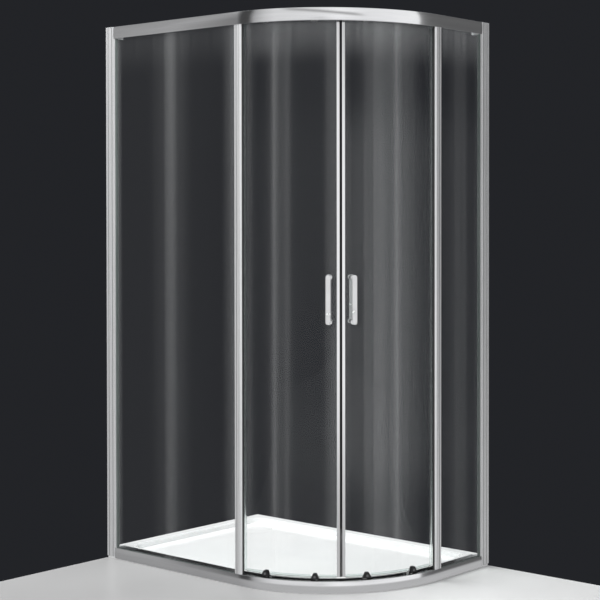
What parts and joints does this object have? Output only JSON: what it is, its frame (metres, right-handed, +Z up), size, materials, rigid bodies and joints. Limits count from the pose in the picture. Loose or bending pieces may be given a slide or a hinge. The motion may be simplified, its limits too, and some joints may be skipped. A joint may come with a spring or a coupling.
{
  "type": "corner shower enclosure",
  "caption": "Offset quadrant shower enclosure on a low tray: curved glass sliding doors between flat side panes, in bright metal rails and wall profiles.",
  "frame": {"origin": "centre of the bounding box in plan, at floor level under the tray", "axes": "+X along the long wall towards the curve, +Y towards the back wall, +Z up"},
  "size_m": [1.2, 0.8, 2],
  "materials": {
    "white_acrylic": "gloss",
    "bright_aluminium": "polished",
    "cap_metal": "polished",
    "soft_rubber": "matte",
    "bracket_steel": "satin",
    "clear_glass": "clear",
    "black_seal": "matte",
    "clear_seal": "translucent",
    "black_plastic": "satin",
    "handle_chrome": "mirror polish",
    "wheel_plastic": "satin",
    "button_plastic": "satin"
  },
  "bodies": {
    "enclosure_frame": {"shower_tray": "white_acrylic", "bottom_rail": "bright_aluminium", "threshold_strip": "bright_aluminium", "bottom_rail_ends": "cap_metal", "top_rail": "bright_aluminium", "top_rail_ends": "cap_metal", "door_stops": "soft_rubber", "left_wall_profile": "bright_aluminium", "right_wall_profile": "bright_aluminium", "wall_profile_caps": "cap_metal", "left_upright": "bright_aluminium", "right_upright": "bright_aluminium", "adjusting_screws": "bracket_steel", "left_side_glass": "clear_glass", "right_side_glass": "clear_glass", "left_gaskets": "soft_rubber", "right_gaskets": "soft_rubber", "left_mullion": "bright_aluminium", "right_mullion": "bright_aluminium"},
    "waste_cover": {"waste_cover": "white_acrylic"},
    "left_door": {"left_door_glass": "clear_glass", "left_leading_stile": "bright_aluminium", "left_magnetic_seal": "black_seal", "left_trailing_seal": "clear_seal", "left_sweep_seal": "clear_seal", "left_roller_brackets": "bracket_steel", "left_roller_axles": "bracket_steel", "left_bottom_clips": "black_plastic", "left_guide_axles": "bracket_steel", "left_handle": "handle_chrome", "left_inner_handle": "handle_chrome", "left_handle_posts": "handle_chrome", "left_handle_washers": "soft_rubber"},
    "right_door": {"right_door_glass": "clear_glass", "right_leading_stile": "bright_aluminium", "right_magnetic_seal": "black_seal", "right_trailing_seal": "clear_seal", "right_sweep_seal": "clear_seal", "right_roller_brackets": "bracket_steel", "right_roller_axles": "bracket_steel", "right_bottom_clips": "black_plastic", "right_guide_axles": "bracket_steel", "right_handle": "handle_chrome", "right_inner_handle": "handle_chrome", "right_handle_posts": "handle_chrome", "right_handle_washers": "soft_rubber"},
    "left_trailing_roller": {"left_trailing_roller": "wheel_plastic"},
    "left_trailing_guide": {"left_trailing_guide": "wheel_plastic"},
    "left_trailing_button": {"left_trailing_button": "button_plastic"},
    "left_leading_roller": {"left_leading_roller": "wheel_plastic"},
    "left_leading_guide": {"left_leading_guide": "wheel_plastic"},
    "left_leading_button": {"left_leading_button": "button_plastic"},
    "right_trailing_roller": {"right_trailing_roller": "wheel_plastic"},
    "right_trailing_guide": {"right_trailing_guide": "wheel_plastic"},
    "right_trailing_button": {"right_trailing_button": "button_plastic"},
    "right_leading_roller": {"right_leading_roller": "wheel_plastic"},
    "right_leading_guide": {"right_leading_guide": "wheel_plastic"},
    "right_leading_button": {"right_leading_button": "button_plastic"}
  },
  "joints": [
    {"name": "waste_cover_lift", "type": "slide", "parent": "enclosure_frame", "child": "waste_cover", "axis": [0, 0, 1], "range_m": [0, 0.1]},
    {"name": "left_door_travel", "type": "hinge", "parent": "enclosure_frame", "child": "left_door", "pos_m": [0.07, 0.202, 0], "axis": [0, 0, -1], "range_deg": [0, 22]},
    {"name": "right_door_travel", "type": "hinge", "parent": "enclosure_frame", "child": "right_door", "pos_m": [-0.002, 0.13, 0], "axis": [0, 0, 1], "range_deg": [0, 22]},
    {"name": "left_trailing_roller_spin", "type": "hinge", "parent": "left_door", "child": "left_trailing_roller", "pos_m": [0.19637, -0.35337, 1.9833], "axis": [0.2079, -0.9781, 0], "range_deg": [0, 1600]},
    {"name": "left_trailing_guide_spin", "type": "hinge", "parent": "left_door", "child": "left_trailing_guide", "pos_m": [0.19699, -0.35631, 0.034], "axis": [0, 0, 1], "range_deg": [0, 2400]},
    {"name": "left_trailing_button_press", "type": "slide", "parent": "left_door", "child": "left_trailing_button", "axis": [-0.2079, 0.9781, 0], "range_m": [0, 0.002], "stiffness_N_per_m": 300},
    {"name": "left_leading_roller_spin", "type": "hinge", "parent": "left_door", "child": "left_leading_roller", "pos_m": [0.35919, -0.28426, 1.9833], "axis": [0.5592, -0.829, 0], "range_deg": [0, 1600]},
    {"name": "left_leading_guide_spin", "type": "hinge", "parent": "left_door", "child": "left_leading_guide", "pos_m": [0.36086, -0.28675, 0.034], "axis": [0, 0, 1], "range_deg": [0, 2400]},
    {"name": "left_leading_button_press", "type": "slide", "parent": "left_door", "child": "left_leading_button", "axis": [-0.5592, 0.829, 0], "range_m": [0, 0.002], "stiffness_N_per_m": 300},
    {"name": "right_trailing_roller_spin", "type": "hinge", "parent": "right_door", "child": "right_trailing_roller", "pos_m": [0.55337, 0.00363, 1.9833], "axis": [-0.9781, 0.2079, 0], "range_deg": [0, 1600]},
    {"name": "right_trailing_guide_spin", "type": "hinge", "parent": "right_door", "child": "right_trailing_guide", "pos_m": [0.55631, 0.00301, 0.034], "axis": [0, 0, -1], "range_deg": [0, 2400]},
    {"name": "right_trailing_button_press", "type": "slide", "parent": "right_door", "child": "right_trailing_button", "axis": [-0.9781, 0.2079, 0], "range_m": [0, 0.002], "stiffness_N_per_m": 300},
    {"name": "right_leading_roller_spin", "type": "hinge", "parent": "right_door", "child": "right_leading_roller", "pos_m": [0.48426, -0.15919, 1.9833], "axis": [-0.829, 0.5592, 0], "range_deg": [0, 1600]},
    {"name": "right_leading_guide_spin", "type": "hinge", "parent": "right_door", "child": "right_leading_guide", "pos_m": [0.48675, -0.16086, 0.034], "axis": [0, 0, -1], "range_deg": [0, 2400]},
    {"name": "right_leading_button_press", "type": "slide", "parent": "right_door", "child": "right_leading_button", "axis": [-0.829, 0.5592, 0], "range_m": [0, 0.002], "stiffness_N_per_m": 300}
  ],
  "couplings": [
    {"joint": "left_trailing_roller_spin", "follows": "left_door_travel", "ratio": 71.196},
    {"joint": "left_trailing_guide_spin", "follows": "left_door_travel", "ratio": 104.1},
    {"joint": "left_leading_roller_spin", "follows": "left_door_travel", "ratio": 70.719},
    {"joint": "left_leading_guide_spin", "follows": "left_door_travel", "ratio": 103.41},
    {"joint": "right_trailing_roller_spin", "follows": "right_door_travel", "ratio": 71.196},
    {"joint": "right_trailing_guide_spin", "follows": "right_door_travel", "ratio": 104.1},
    {"joint": "right_leading_roller_spin", "follows": "right_door_travel", "ratio": 70.719},
    {"joint": "right_leading_guide_spin", "follows": "right_door_travel", "ratio": 103.41}
  ]
}
